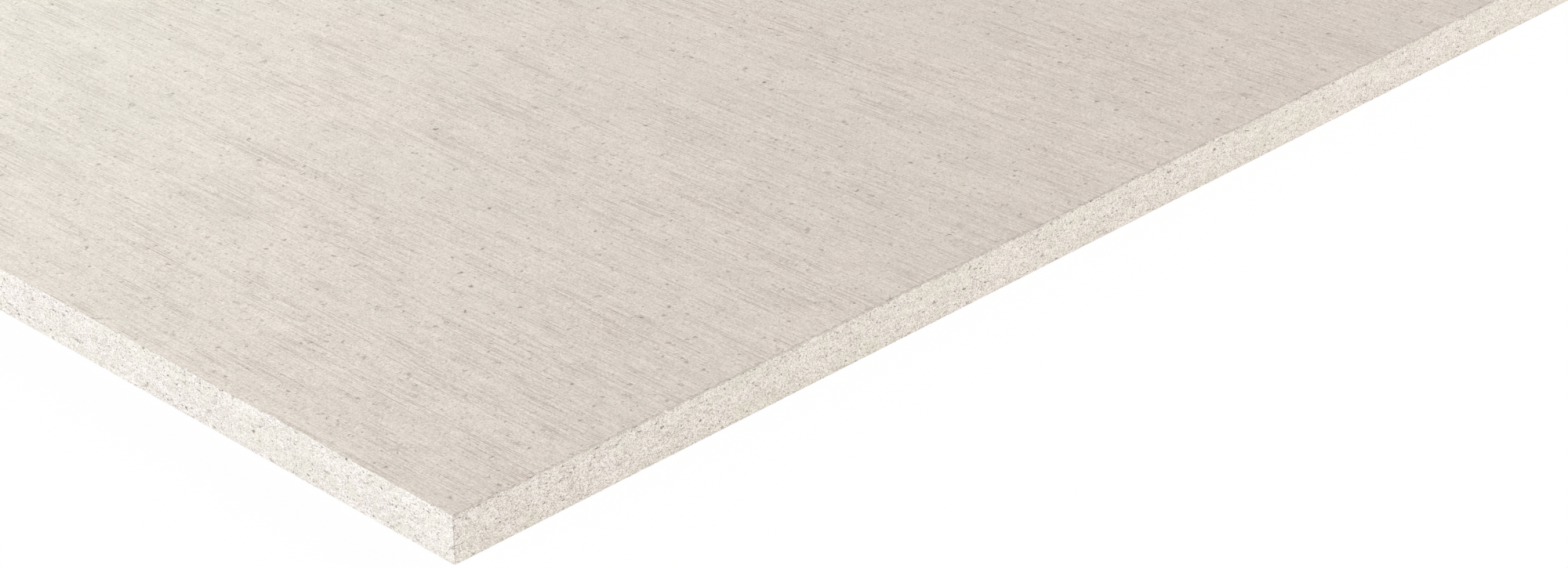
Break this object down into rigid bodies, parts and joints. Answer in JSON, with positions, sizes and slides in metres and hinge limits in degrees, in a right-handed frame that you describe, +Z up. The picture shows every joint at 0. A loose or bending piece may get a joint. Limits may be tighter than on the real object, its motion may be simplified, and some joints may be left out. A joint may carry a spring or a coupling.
{
  "type": "paperless drywall sheet (gypsum fibreboard)",
  "caption": "Flat rectangular sheet of pale gypsum fibreboard with a fine-sanded face and square sawn edges, for lining walls, ceilings and floors.",
  "frame": {"origin": "middle of the back face, which is the underside as the sheet lies", "axes": "+X along the length and the sanding lines, +Y across the width, +Z up out of the sanded face"},
  "size_m": [2.4, 1.2, 0.0125],
  "materials": {
    "gypsum_fibreboard": "matte"
  },
  "bodies": {
    "root": {"drywall_sheet": "gypsum_fibreboard"}
  },
  "joints": []
}
